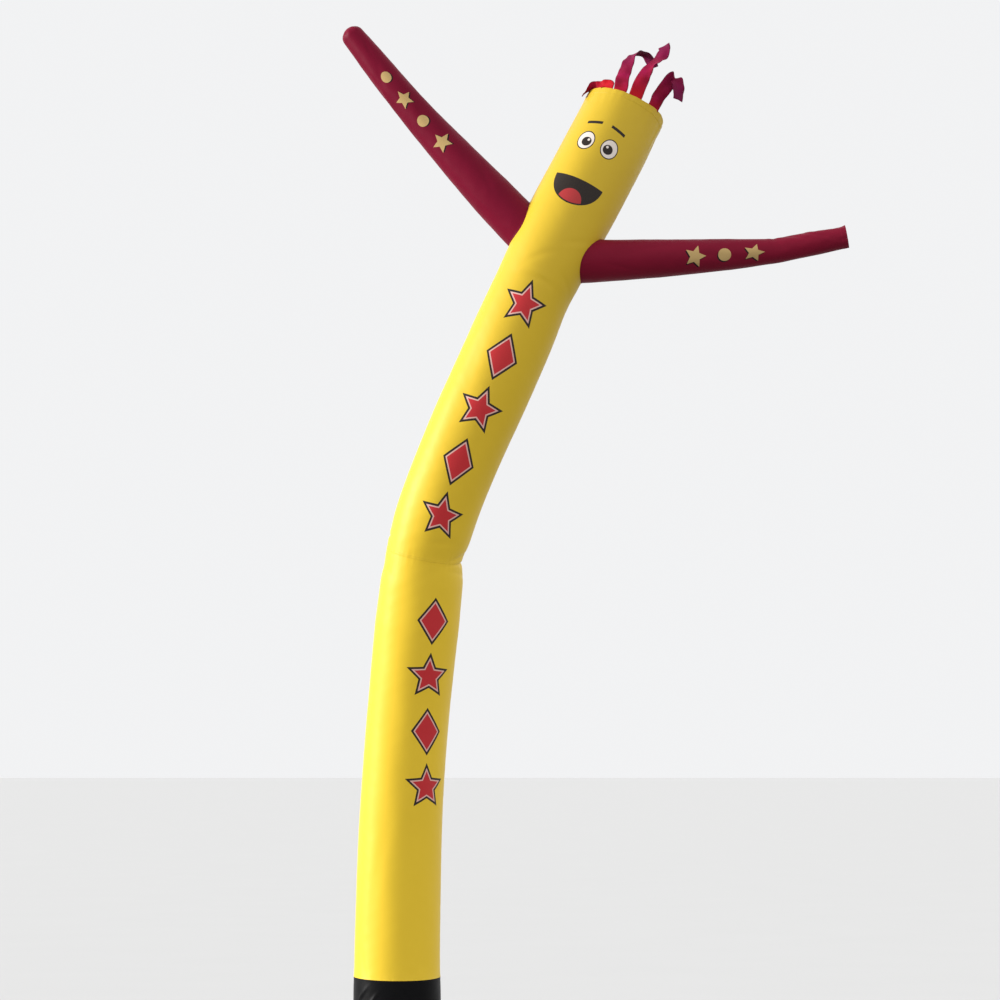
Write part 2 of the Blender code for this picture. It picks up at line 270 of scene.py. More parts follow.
# Columns: along, right, forward, girth as a share of TUBE_DIAMETER
BODY_ROWS = (
    (0.00, 0.0, 0.0, 1.022),
    (0.56, 0.2, 3.0, 1.018),
    (0.66, 0.6, 3.0, 1.004),
    (1.10, 1.3, 4.0, 0.985),
    (1.70, 4.0, 6.0, 0.962),
    (2.10, 5.5, 7.5, 0.960),
    (2.50, 6.3, 9.0, 0.982),
    (2.74, 6.0, 11.0, 0.960),
    (2.88, 11.0, 12.0, 0.925),
    (3.02, 17.5, 11.0, 0.940),
    (3.30, 22.0, 8.0, 0.945),
    (3.70, 25.0, 5.0, 0.968),
    (4.10, 23.5, 2.0, 0.958),
    (4.42, 24.5, -3.0, 0.935),
    (4.90, 27.5, -11.0, 0.980),
    (5.30, 26.5, -17.0, 0.980),
    (5.60, 26.0, -19.0, 0.972),
)
# Columns: along, right, forward, diameter in metres
LEFT_ARM_ROWS = (
    (0.00, -42.5, -10.0, 0.243),
    (0.24, -42.5, -10.0, 0.243),
    (0.46, -42.0, -10.0, 0.236),
    (0.70, -41.5, -10.0, 0.213),
    (0.93, -40.5, -10.0, 0.188),
    (1.16, -39.0, -10.0, 0.166),
    (1.39, -37.5, -10.0, 0.153),
    (1.50, -37.5, -10.0, 0.143),
    (1.66, -37.5, -10.0, 0.125),
)
RIGHT_ARM_ROWS = (
    (0.00, 88.5, 5.0, 0.228),
    (0.25, 88.5, 5.0, 0.227),
    (0.60, 88.0, 5.0, 0.204),
    (0.98, 87.0, 5.0, 0.165),
    (1.17, 86.0, 5.0, 0.136),
    (1.27, 79.5, 5.0, 0.131),
    (1.46, 79.5, 5.0, 0.125),
    (1.61, 80.0, 5.0, 0.113),
)
LEFT_ARM_DOME = 1.66
LEFT_ARM_TIP = 1.72
RIGHT_ARM_END = 1.605


class Line:
    """The middle line of a tube, worked out from how far it leans at each length along it."""

    def __init__(self, start, rows):
        self.rows = np.array(rows, dtype=float)
        count = math.ceil((self.rows[-1, 0] + LINE_REACH) / LINE_STEP)
        middles = (np.arange(count) + 0.5) * LINE_STEP
        self.alongs = np.arange(count + 1) * LINE_STEP
        steps = self.axis(middles) * LINE_STEP
        self.points = np.array(start) + np.vstack([np.zeros(3), np.cumsum(steps, axis=0)])

    def value(self, column, along):
        return np.interp(along, self.rows[:, 0], self.rows[:, column])

    def axis(self, along):
        right = np.radians(self.value(1, along))
        forward = np.radians(self.value(2, along))
        level = np.cos(forward)
        return np.stack([level * np.sin(right), -np.sin(forward), level * np.cos(right)], axis=-1)

    def point(self, along):
        return np.stack([np.interp(along, self.alongs, self.points[:, k]) for k in range(3)], axis=-1)

    def sides(self, along):
        """The directions to the right and to the front of the tube's section."""
        axis = self.axis(along)
        front = np.array([0.0, -1.0, 0.0]) + axis * axis[..., 1:2]
        front /= np.linalg.norm(front, axis=-1, keepdims=True)
        return np.cross(axis, front), front

    def place(self, along, azimuth, radius):
        """Points on the tube, with azimuth in radians from the front towards the right."""
        right, front = self.sides(along)
        across = right * np.sin(azimuth)[..., None] + front * np.cos(azimuth)[..., None]
        return self.point(along) + across * np.asarray(radius)[..., None]


body_line = Line((0.0, 0.0, 0.0), BODY_ROWS)
left_line = Line(body_line.point(np.array(LEFT_SHOULDER)), LEFT_ARM_ROWS)
right_line = Line(body_line.point(np.array(RIGHT_SHOULDER)), RIGHT_ARM_ROWS)
print("rim's middle:", body_line.point(np.array(RIM)).round(3),
      "right arm's end:", right_line.point(np.array(RIGHT_ARM_END)).round(3))

# %% [markdown]
# Cloth under pressure is smooth between its seams, but never perfectly round. It drifts in and out
# by a millimetre or two, puckers where a seam gathers it, and folds sharply where the tube bends.
# Each kind of unevenness is a small function of the length along and the angle round the tube, so
# it can be measured, moved and made deeper without touching a vertex by hand.

# %% Unevenness of the cloth
# Soft dents, as in the part. Columns: along, azimuth, depth, reach along, spread in degrees
DENT_ROWS = (
    (2.88, 95, 0.016, 0.07, 55),
    (2.80, -80, 0.007, 0.05, 35),
    (2.96, -75, 0.005, 0.08, 30),
    (4.36, 80, 0.008, 0.12, 40),
    (5.50, 92, 0.006, 0.09, 20),
)
# Folds and creases. Columns: along, azimuth, turn from level in degrees, half length in metres,
# half width in metres, height in metres, which is below zero for a trough
FOLD_ROWS = (
    (2.868, 98, -3, 0.130, 0.009, -0.0062),
    (2.896, 88, 4, 0.120, 0.014, 0.0016),
    (2.836, 92, -9, 0.120, 0.016, 0.0020),
    (2.800, 78, -16, 0.090, 0.010, -0.0028),
    (2.925, 74, 14, 0.100, 0.011, -0.0030),
    (2.936, -90, 0, 0.070, 0.008, -0.0040),
    (2.955, -86, 5, 0.080, 0.014, 0.0014),
    (2.915, -88, -6, 0.080, 0.014, 0.0012),
    (2.790, -60, -24, 0.070, 0.012, -0.0022),
    (2.985, 20, 9, 0.110, 0.018, -0.0016),
    (4.430, -4, 4, 0.085, 0.012, -0.0040),
    (4.455, 0, 2, 0.085, 0.014, 0.0018),
    (4.550, -8, 38, 0.080, 0.016, -0.0030),
    (4.690, 30, 28, 0.080, 0.012, -0.0020),
    (4.480, 44, -26, 0.070, 0.012, -0.0024),
    (5.460, 84, 82, 0.075, 0.008, -0.0085),
    (5.470, 70, 84, 0.070, 0.008, 0.0050),
    (5.480, 30, 80, 0.050, 0.014, -0.0016),
    (5.485, -40, 98, 0.050, 0.014, -0.0018),
    (1.150, -30, 82, 0.300, 0.035, -0.0018),
    (1.850, 35, 97, 0.350, 0.040, -0.0020),
    (3.450, 20, 84, 0.250, 0.035, -0.0018),
    (3.950, -35, 96, 0.250, 0.035, -0.0016),
    (0.700, 40, 76, 0.080, 0.020, -0.0016),
    (0.690, -50, 104, 0.070, 0.018, -0.0018),
)
# The collar is slack at its foot, so it has slanting creases of its own
COLLAR_FOLD_ROWS = (
    (0.525, -52, 50, 0.055, 0.007, 0.0055),
    (0.490, -34, 56, 0.065, 0.008, 0.0050),
    (0.470, -62, 46, 0.050, 0.009, -0.0040),
    (0.540, 12, -52, 0.040, 0.009, -0.0030),
    (0.460, 30, -60, 0.070, 0.010, 0.0040),
    (0.360, -15, 64, 0.090, 0.014, -0.0040),
    (0.300, 55, -66, 0.100, 0.015, -0.0040),
    (0.250, -80, 70, 0.100, 0.015, 0.0035),
    (0.330, 120, 62, 0.110, 0.015, -0.0040),
    (0.420, 165, -60, 0.100, 0.014, -0.0040),
    (0.280, -150, 66, 0.100, 0.016, 0.0040),
    (0.170, 10, -78, 0.080, 0.018, -0.0030),
)
LEFT_ARM_FOLD_ROWS = (
    (1.270, -62, 70, 0.100, 0.020, 0.0030),
    (1.350, -30, 62, 0.110, 0.018, -0.0030),
    (1.080, 20, 72, 0.160, 0.022, -0.0026),
    (0.820, -25, 98, 0.160, 0.024, -0.0024),
    (0.560, 25, 64, 0.110, 0.020, -0.0030),
    (0.430, -40, 100, 0.100, 0.018, 0.0024),
    (1.560, 20, 76, 0.080, 0.012, -0.0028),
    (0.900, 140, 80, 0.200, 0.026, -0.0030),
    (1.250, -140, 96, 0.180, 0.022, -0.0030),
)
RIGHT_ARM_FOLD_ROWS = (
    (1.215, -70, 12, 0.070, 0.018, -0.0022),
    (1.240, -40, 24, 0.060, 0.011, -0.0028),
    (1.190, -60, -18, 0.060, 0.014, 0.0009),
    (1.330, -55, 62, 0.070, 0.011, -0.0036),
    (1.420, -72, 48, 0.060, 0.010, 0.0032),
    (1.470, -30, 66, 0.080, 0.010, -0.0032),
    (1.540, -80, 74, 0.045, 0.009, -0.0040),
    (0.900, 10, 82, 0.160, 0.022, -0.0024),
    (0.600, -30, 98, 0.150, 0.022, -0.0024),
    (0.420, 30, 72, 0.090, 0.016, -0.0026),
    (0.800, 150, 84, 0.200, 0.024, -0.0030),
    (1.150, -150, 96, 0.180, 0.020, -0.0028),
)


def turned(azimuth, middle):
    """The angle from middle to each azimuth, in degrees from -180 to 180."""
    return (np.degrees(azimuth) - middle + 180.0) % 360.0 - 180.0


def dents(along, azimuth):
    total = np.zeros_like(along)
    for middle, dent_azimuth, depth, reach, spread in DENT_ROWS:
        distance = ((along - middle) / reach) ** 2 + (turned(azimuth, dent_azimuth) / spread) ** 2
        total -= depth * np.exp(-distance)
    return total


def folds(rows, along, azimuth, radius):
    """Long soft ridges and troughs, each with its own place, slant and size."""
    total = np.zeros_like(along)
    for middle, fold_azimuth, slant, half_length, half_width, height in rows:
        across = np.radians(turned(azimuth, fold_azimuth)) * radius
        upwards = along - middle
        cosine, sine = math.cos(math.radians(slant)), math.sin(math.radians(slant))
        lengthways = across * cosine + upwards * sine
        sideways = upwards * cosine - across * sine
        bend = sideways + 0.06 * lengthways ** 2 / half_length
        total += height * np.exp(-(lengthways / half_length) ** 2 - (bend / half_width) ** 2)
    return total


def drift(along, azimuth, height, seed, waves=((2, 1.7), (3, 3.1), (4, 5.3), (5, 8.9), (7, 13.0))):
    """Slow swellings that close up round the tube, the same ones on each run."""
    chance = np.random.default_rng(seed)
    total = np.zeros_like(along)
    for count, pace in waves:
        for direction in (-1, 1):
            phase = chance.uniform(0, 2 * math.pi, 2)
            share = chance.uniform(0.4, 1.0)
            total += share * np.cos(count * azimuth * direction + phase[0]) * np.cos(
                pace * along * chance.uniform(0.8, 1.25) + phase[1])
    return height * total / len(waves)


def puckers(distance, azimuth, height, reach, counts, seed):
    """The small gathers beside a seam, which die out within reach of it."""
    chance = np.random.default_rng(seed)
    wave = sum(
        chance.uniform(0.5, 1.0) * np.cos(count * azimuth + chance.uniform(0, 6.28))
        for count in counts)
    return height * wave / len(counts) * np.exp(-np.abs(distance) / reach)


def seam_ridge(distance, height=0.0009, half_width=0.006):
    """The doubled cloth that lies under a sewn seam."""
    return height * np.exp(-(distance / half_width) ** 4)


# %% [markdown]
# Every tube is swept the same way: a circle is extruded ring after ring up its outer face, turned
# over at the end and brought back down its inner face, and the first and last rings are merged. A
# tube with a round tip runs the other way, from the tip down and back, and closes at the tip.
# That gives a real wall of cloth with closed edges, and lets each face know which side it is on.

# %% Sweep a tube of cloth
INNER_STRIP = 0.06          # the share of the baking map that the inside of a tube gets
WELD = 0.00001


def extruded(bm, edges, line):
    """Extrudes a line of edges, and gives the new edges and the new vertices in the same order."""
    made = bmesh.ops.extrude_edge_only(bm, edges=edges)["geom"]
    fresh = {item for item in made if isinstance(item, bmesh.types.BMVert)}
    edges = [item for item in made if isinstance(item, bmesh.types.BMEdge)
             and item.verts[0] in fresh and item.verts[1] in fresh]
    line = [next(edge.other_vert(vert) for edge in vert.link_edges
                 if edge.other_vert(vert) in fresh) for vert in line]
    return edges, line


def extruded_rings(bm, segments, count):
    """Extrudes a circle into a stack of rings, each a list of vertices in the same order."""
    ring = list(bmesh.ops.create_circle(bm, cap_ends=False, segments=segments, radius=1.0)["verts"])
    ring.sort(key=lambda vert: math.atan2(vert.co.x, -vert.co.y))
    edges = list(bm.edges)
    rings = [ring]
    for _ in range(count - 1):
        edges, ring = extruded(bm, edges, ring)
        rings.append(ring)
    return rings


def spots_of(rings):
    """The number of its ring and its column in it, for each vertex."""
    return {vert: (number, column) for number, ring in enumerate(rings)
            for column, vert in enumerate(ring)}


def lay_maps(bm, rings, rows, outer_rings, segments, maps):
    """Writes the cloth's maps, in metres, and a baking map that gives the outside most of its room."""
    places = spots_of(rings)
    layers = {map_name: bm.loops.layers.uv.new(map_name) for map_name in maps}
    bake = bm.loops.layers.uv.new("OFBake")
    last_row = max(rows)
    for face in bm.faces:
        spots = [places[vert] for vert in face.verts]
        wraps = max(column for _, column in spots) - min(column for _, column in spots) > 1
        inside = max(number for number, _ in spots) >= outer_rings
        for loop, (number, column) in zip(face.loops, spots):
            wrapped = wraps and column == 0
            for map_name, (period, across, upwards) in maps.items():
                loop[layers[map_name]].uv = (
                    across[number, column] + (period[number] if wrapped else 0.0),
                    upwards[number, column])
            share = (column + (segments if wrapped else 0)) / segments
            if inside:
                share = 1.0 - INNER_STRIP * (0.1 + 0.8 * share)
            else:
                share = (1.0 - INNER_STRIP) * (0.004 + 0.992 * share)
            loop[bake].uv = (share, 0.005 + 0.99 * rows[number] / last_row)


def tube_of_cloth(levels, segments, place, maps, round_tip=False):
    """A tube with a wall of cloth. A round tip closes its last level, and goes first."""
    up = list(range(len(levels)))
    if round_tip:
        rows = up[::-1] + up
    else:
        rows = up + up[::-1] + [0]
    inset = np.array([0.0] * len(up) + [CLOTH] * len(up) + [0.0] * (len(rows) - 2 * len(up)))
    bm = bmesh.new()
    rings = extruded_rings(bm, segments, len(rows))
    azimuths = np.array([math.atan2(vert.co.x, -vert.co.y) for vert in rings[0]])
    level = np.array(levels)[rows][:, None] + np.zeros(segments)
    turn = np.zeros((len(rows), 1)) + azimuths
    points = place(level, turn, inset[:, None])
    for number, ring in enumerate(rings):
        for column, vert in enumerate(ring):
            vert.co = points[number, column]
    lay_maps(bm, rings, rows, len(up), segments, maps(level, turn))
    if round_tip:
        for ring in (rings[0], rings[-1]):
            middle = sum((vert.co for vert in ring), Vector()) / segments
            bmesh.ops.pointmerge(bm, verts=ring, merge_co=middle)
    return bm, rings


def finished(bm, name, finish, replaced):
    """Merges doubles, turns the faces outwards, and hands the piece to the frame."""
    bmesh.ops.remove_doubles(bm, verts=bm.verts, dist=WELD)
    bmesh.ops.recalc_face_normals(bm, faces=bm.faces)
    mesh = bpy.data.meshes.new(name)
    bm.to_mesh(mesh)
    bm.free()
    mesh.materials.append(finish.material)
    mesh.shade_smooth()
    mesh.set_sharp_from_angle(angle=math.radians(50))
    piece = bpy.data.objects.new(name, mesh)
    bpy.context.collection.objects.link(piece)
    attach(piece, "root")
    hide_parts(*replaced)
    print(name, len(mesh.polygons), "faces")
    return piece


def spaced(marks, fine, coarse, reach):
    """Levels between the first and last mark, close together near each mark."""
    levels = [marks[0]]
    while levels[-1] < marks[-1]:
        nearest = min(abs(levels[-1] - mark) for mark in marks)
        step = fine + (coarse - fine) * min(1.0, nearest / reach)
        levels.append(levels[-1] + step)
    stretch = (marks[-1] - marks[0]) / (levels[-1] - marks[0])
    return [marks[0] + (level - marks[0]) * stretch for level in levels]


# %% [markdown]
# The print goes round with the cloth, which is twisted a little more the lower it hangs. The map
# "cloth" therefore counts metres round the tube from the print's own middle line, and metres along.
# The map "seam" counts metres from the edge where the cloth was sewn, for the stitches.

# %% Body surface and its maps
# How far the print's middle line is turned from the front. Columns: along, degrees
TWIST_ROWS = ((0.0, 50.0), (1.0, 44.0), (1.64, 37.0), (1.98, 30.0), (2.32, 25.0), (2.67, 24.0),
              (3.23, 7.0), (3.56, 4.0), (3.94, 1.0), (4.26, 0.0), (4.58, -7.5), (5.25, -9.6))
PRINT_RADIUS = 0.22


def twist(along):
    return np.interp(along, [row[0] for row in TWIST_ROWS], [row[1] for row in TWIST_ROWS])


def body_surface(along, azimuth):
    """The radius of the body's cloth, with its seams, gathers, folds and slow swellings."""
    radius = TUBE_DIAMETER / 2 * body_line.value(3, along)
    total = radius + dents(along, azimuth)
    total += folds(FOLD_ROWS, along, azimuth, radius)
    calm = np.clip((along - 0.02) / 0.3, 0.0, 1.0)
    total += drift(along, azimuth, 0.0021, 7) * calm
    total += drift(along * 3.1, azimuth, 0.0005, 11, ((6, 9.0), (9, 17.0), (11, 24.0))) * calm
    for seam, height, seed in ((BASE_LENGTH, 0.0011, 1), (MID_SEAM, 0.0016, 2)):
        total += seam_ridge(along - seam)
        total += puckers(along - seam, azimuth, height, 0.030, (19, 31, 43, 57), seed)
    total += puckers(along - RIM, azimuth, 0.0030, 0.045, (9, 14, 23, 37), 3)
    return total


def raised(along, azimuth):
    """Lengths near the rim, stretched up to its uneven edge, which is highest at its right."""
    peak = np.exp(-(turned(azimuth, RIM_PEAK_AT) / 30) ** 2)
    lift = RIM_LIFT + RIM_PEAK * peak - 0.003 * np.cos(azimuth * 3 + 1.0)
    share = np.clip((along - RIM) / RIM_REACH + 1.0, 0.0, 1.0)
    return along + lift * share ** 2


def collar_surface(along, azimuth):
    radius = TUBE_DIAMETER / 2 * body_line.value(3, along)
    slack = np.clip((BASE_LENGTH - along) / 0.12, 0.0, 1.0) * np.clip(along / 0.08, 0.15, 1.0)
    total = body_surface(along, azimuth)
    total += folds(COLLAR_FOLD_ROWS, along, azimuth, radius) * np.clip(along / 0.05, 0.0, 1.0)
    total += drift(along * 2.2, azimuth, 0.0026, 19) * slack
    return total


def hem_ridge(along, edge):
    """A hem is folded twice, so it stands a little proud of its cloth."""
    depth = np.abs(along - edge)
    return HEM_RISE * np.clip((HEM_WIDTH - depth) / 0.0015, 0.0, 1.0)


def body_maps(along, azimuth):
    """Each map's length once round, then its metres round the tube and along it."""
    printed = (np.degrees(azimuth) - twist(along)) * math.pi / 180 * PRINT_RADIUS
    period = np.full(len(along), 2 * math.pi * PRINT_RADIUS)
    return {"cloth": (period, printed, along), "seam": (period, azimuth * PRINT_RADIUS, along)}


# %% [markdown]
# The finishes come next. Ripstop nylon has a fine grid of thicker threads, a soft sheen, and rows
# of stitches beside each seam. All of that reads the two maps, so it stays on the cloth.

# %% Cloth finish
RIPSTOP_STEP = 0.006        # between two thicker threads
STITCH_STEP = 0.0045
STITCH_WIDTH = 0.0011
THREAD_WIDTH = 0.0009
DULL = {"Specular IOR Level": 0.06, "Sheen Weight": 0.0}


def thread_lines(across, upwards):
    """1 on the thicker threads of ripstop cloth and 0 between them."""
    lines = None
    for place in (across, upwards):
        near = place.there_and_back(RIPSTOP_STEP / 2)
        line = (1.0 - near / THREAD_WIDTH).clamped()
        lines = line if lines is None else lines.at_least(line)
    return lines


def stitches(finish, rows):
    """1 on the stitches of each row, which lies at a distance on the seam map."""
    across, upwards = finish.map("seam")
    dash = across.there_and_back(STITCH_STEP / 2) > STITCH_STEP * 0.12
    total = None
    for row in rows:
        line = (1.0 - abs(upwards - row) / STITCH_WIDTH).clamped() * dash
        total = line if total is None else total.at_least(line)
    return total


def cloth_finish(name, light, dark, thread, rows, roughness, prints=None, **constants):
    """Nylon: a colour that fades a little here and there, a print, threads and stitches."""
    settings = {"Specular IOR Level": 0.20, "Sheen Weight": 0.03, "Sheen Roughness": 0.45}
    finish = Finish(name)
    for socket, value in {**settings, **constants}.items():
        finish.shader.inputs[socket].default_value = value
    place = finish.object_place()
    across, upwards = finish.map("cloth")
    faded = finish.noise(place, 2.3, 3.0)
    fine = finish.noise(place, 38.0, 2.0)
    colour = finish.colour(((faded - 0.5) * 1.6 + 0.5).clamped(), light, dark)
    colour = finish.colour((fine - 0.35).clamped() * 0.10, colour, dark)
    if prints:
        colour = prints(finish, across, upwards, colour)
    lines = thread_lines(across, upwards)
    stitch = stitches(finish, rows)
    colour = finish.colour(lines * 0.05, colour, dark)
    colour = finish.colour(stitch * 0.65, colour, thread)
    finish.set("Base Color", colour)
    finish.set("Roughness", (faded - 0.5) * 0.16 + (fine - 0.5) * 0.08 + roughness - lines * 0.03)
    crumple = finish.noise(place, 17.0, 3.0)
    height = lines * 0.12 + stitch * 0.9 + crumple * 1.4 + fine * 0.25
    finish.bumped(0.55, 0.0009, height)
    return finish


# %% [markdown]
# The print on the body is a column of generic shapes, stars and diamonds in turn, each in red with
# a pale inline and a near-black outline. Every shape is a signed distance in metres, below zero
# inside, so its outlines are bands of the same distance and stay as wide all the way round.

# %% Printed shapes
# Painted shade: the body's yellow darkens from near the bend up, most at the head.
UPPER_SHADE_YELLOW = (0.30, 0.195, 0.012)
UPPER_SHADE_FROM = 2.5
UPPER_SHADE_OVER = 2.8
UPPER_SHADE_MOST = 0.42
INK_RED = (0.56, 0.022, 0.035)
INK_PALE = (0.80, 0.47, 0.42)
INK_DARK = (0.012, 0.008, 0.012)
INK_GOLD = (0.52, 0.36, 0.15)
INK_WHITE = (0.80, 0.72, 0.66)
INK_TONGUE = (0.45, 0.03, 0.04)
SOFT_EDGE = 0.0008
OUTLINE = 0.011             # how wide the near-black outline is
INLINE = 0.018              # how far in the pale inline ends
# Columns of shapes up the body: where each starts, from one shape to the next, and how many
BODY_COLUMNS = ((1.50, 0.30, 4), (2.98, 0.29, 5))
BODY_STAR = (0.130, 0.062)  # to its tips and to its waists
BODY_DIAMOND = (0.090, 0.130)
ARM_STAR = (0.058, 0.027)
ARM_DISC = 0.034
ARM_SHADE = 0.006           # how far the dark shade stands off its shape
# The face, in metres along the cloth and to either side of the print's middle line
EYE_HEIGHT = 5.20
EYE_ASIDE = 0.068
EYE_RADIUS = 0.056
EYE_SLIM = 0.86             # an eye's width as a share of its height
PUPIL_RADIUS = 0.027
GLINT_RADIUS = 0.007
BROW_HEIGHT = 5.315
BROW_HALF = (0.042, 0.0085)
BROW_SLANT = 0.18
MOUTH_HEIGHT = 4.985
MOUTH_RADIUS = 0.142
TONGUE_RADIUS = 0.066


def star_distance(finish, x, y, tip, waist, points=5):
    """The distance to a star with its tips at one radius and its waists at another."""
    half = math.pi / points
    angle = abs(finish.maths("ARCTAN2", x, y)).there_and_back(half)
    reach = finish.length(x, y)
    along, aside = reach * finish.maths("COSINE", angle), reach * finish.maths("SINE", angle)
    edge_x, edge_y = waist * math.cos(half) - tip, waist * math.sin(half)
    size = math.hypot(edge_x, edge_y)
    return (along - tip) * (edge_y / size) + aside * (-edge_x / size)


def diamond_distance(x, y, wide, high):
    size = math.hypot(wide, high)
    return abs(x) * (high / size) + abs(y) * (wide / size) - wide * high / size


def disc_distance(finish, x, y, radius):
    return finish.length(x, y) - radius


def inked(finish, distance, colour, ink, edge=0.0):
    """Lays an ink over the colour wherever the distance is below the edge."""
    share = ((edge - distance) / SOFT_EDGE + 0.5).clamped()
    return finish.colour(share, colour, ink)


def outlined(finish, distance, colour, fill):
    colour = inked(finish, distance, colour, INK_DARK)
    colour = inked(finish, distance, colour, INK_PALE, -OUTLINE)
    return inked(finish, distance, colour, fill, -INLINE)


def repeated(finish, upwards, start, pitch, count):
    """The place within a repeat, whether it is an odd one, and 1 outside them all."""
    run = (upwards - start) / pitch
    cell = finish.maths("FLOOR", run)
    odd = finish.maths("PINGPONG", cell, 1.0)
    outside = (run < 0.0) + (run > float(count))
    return (run - cell - 0.5) * pitch, odd, outside


def body_print(finish, across, upwards, colour):
    """Stars and diamonds up the body, painted shade from near the bend up, and a plain face."""
    upper_shade = ((upwards - UPPER_SHADE_FROM) / UPPER_SHADE_OVER).clamped() * UPPER_SHADE_MOST
    colour = finish.colour(upper_shade, colour, UPPER_SHADE_YELLOW)
    for start, pitch, count in BODY_COLUMNS:
        y, odd, outside = repeated(finish, upwards, start, pitch, count)
        star = star_distance(finish, across, y, *BODY_STAR)
        diamond = diamond_distance(across, y, *BODY_DIAMOND)
        distance = star * (1.0 - odd) + diamond * odd + outside
        colour = outlined(finish, distance, colour, INK_RED)
    return face_print(finish, across, upwards, colour)


def face_print(finish, across, upwards, colour):
    """Two round eyes, two bars for brows and a half moon for a mouth, of the builder's own design."""
    aside = abs(across) - EYE_ASIDE
    eye_y = upwards - EYE_HEIGHT
    eye = disc_distance(finish, aside / EYE_SLIM, eye_y, EYE_RADIUS)
    colour = inked(finish, eye, colour, INK_DARK)
    colour = inked(finish, eye, colour, INK_WHITE, -0.006)
    pupil = disc_distance(finish, aside + 0.006, eye_y + 0.006, PUPIL_RADIUS)
    colour = inked(finish, pupil, colour, INK_DARK)
    glint = disc_distance(finish, aside + 0.014, eye_y - 0.006, GLINT_RADIUS)
    colour = inked(finish, glint, colour, INK_WHITE)
    brow_y = upwards - BROW_HEIGHT + aside * BROW_SLANT
    brow = (abs(aside) - BROW_HALF[0]).at_least(abs(brow_y) - BROW_HALF[1])
    colour = inked(finish, brow, colour, INK_DARK)
    mouth_y = upwards - MOUTH_HEIGHT
    mouth = disc_distance(finish, across, mouth_y, MOUTH_RADIUS).at_least(mouth_y)
    colour = inked(finish, mouth, colour, INK_DARK)
    tongue = disc_distance(finish, across, mouth_y + 0.128, TONGUE_RADIUS).at_least(mouth + 0.008)
    return inked(finish, tongue, colour, INK_TONGUE)


def arm_print(start, pitch, count, middle):
    """Small gold shapes with a dark shade beside each."""
    def prints(finish, across, upwards, colour):
        y, odd, outside = repeated(finish, upwards, start, pitch, count)
        x = across - middle
        for shift, ink in ((ARM_SHADE, INK_DARK), (0.0, INK_GOLD)):
            disc = disc_distance(finish, x - shift, y + shift, ARM_DISC)
            star = star_distance(finish, x - shift, y + shift, *ARM_STAR)
            distance = star * (1.0 - odd) + disc * odd + outside
            colour = inked(finish, distance, colour, ink)
        return colour
    return prints


# %% Finishes of this dancer
FROM_SEAM = 0.006           # from a seam of the body to the stitches beside it
FROM_FOLD = 0.003           # from a hem's folded side to its stitches
FROM_EDGE = 0.004           # from a hem's outer edge to its stitches
ARM_STITCHES = (0.005, 0.011)
yellow_nylon = cloth_finish(
    "yellow_nylon", light=(0.890, 0.610, 0.038), dark=(0.855, 0.575, 0.033),
    thread=(0.60, 0.36, 0.02), roughness=0.46, prints=body_print,
    rows=(BASE_LENGTH + FROM_SEAM, MID_SEAM - FROM_SEAM, MID_SEAM + FROM_SEAM,
          RIM - HEM_WIDTH + FROM_FOLD, RIM - FROM_EDGE))
black_nylon = cloth_finish(
    "black_nylon", light=(0.0048, 0.0048, 0.0054), dark=(0.0024, 0.0024, 0.0030),
    thread=(0.025, 0.025, 0.027), roughness=0.42,
    rows=(HEM_WIDTH - FROM_FOLD, FROM_EDGE, BASE_LENGTH - FROM_SEAM), **DULL)
# Both arms are one red cloth: painted shade darkens the lamp-lit left arm, painted light lifts the
# shaded right arm.
left_red_nylon = cloth_finish(
    "red_nylon_left", light=(0.195, 0.0050, 0.026), dark=(0.150, 0.0040, 0.020),
    thread=(0.09, 0.002, 0.012), roughness=0.46, rows=ARM_STITCHES,
    prints=arm_print(start=0.76, pitch=0.165, count=4, middle=-0.010), **DULL)
right_red_nylon = cloth_finish(
    "red_nylon_right", light=(0.225, 0.0085, 0.029), dark=(0.160, 0.0062, 0.022),
    thread=(0.10, 0.003, 0.012), roughness=0.46, rows=ARM_STITCHES,
    prints=arm_print(start=0.72, pitch=0.155, count=3, middle=0.012), **DULL)
print("finishes:", [material.name for material in bpy.data.materials])

# %% [markdown]
# The collar is black and the body yellow. Between them runs a flat seam, and the yellow cloth goes
# on as two lengths, with a seam at the bend. The upper length carries both arm holes.

# %% Collar and lower length
SEGMENTS = 176
BEND_REACH = 0.03           # how far the closest creases reach from the seam at the bend


def body_place(surface, hems=()):
    def place(along, azimuth, inset):
        radius = surface(along, azimuth) - inset
        for edge in hems:
            radius = radius + hem_ridge(along, edge) * (inset == 0)
        return body_line.place(raised(along, azimuth), azimuth, radius)
    return place


marks = (0.0, HEM_WIDTH, BASE_LENGTH - GAP / 2)
levels = spaced(marks, fine=0.0016, coarse=0.010, reach=0.05)
bm = tube_of_cloth(levels, SEGMENTS, body_place(collar_surface, (0.0,)), body_maps)[0]
collar_cloth = finished(bm, "collar_cloth", black_nylon, ["base_sleeve"])

marks = (BASE_LENGTH + GAP / 2, MID_SEAM - BEND_REACH, MID_SEAM - GAP / 2)
levels = spaced(marks, fine=0.0018, coarse=0.013, reach=0.10)
bm = tube_of_cloth(levels, SEGMENTS, body_place(body_surface), body_maps)[0]
lower_cloth = finished(bm, "lower_cloth", yellow_nylon, ["body_lower"])


# %% [markdown]
# An arm meets the body along a curve. The curve is found by stepping out along each line of the arm
# until it leaves the body's surface, so the sleeve's first ring lies close on the cloth that it is
# sewn to. The body has a hole inside that ring, which lets the air through.

# %% Where the arms meet the body
ROOT_SEARCH = (0.10, 0.60)  # the length along an arm in which it leaves the body
ROOT_STEP = 0.002
NEARING_STEPS = 8           # towards the nearest point of the body's middle line


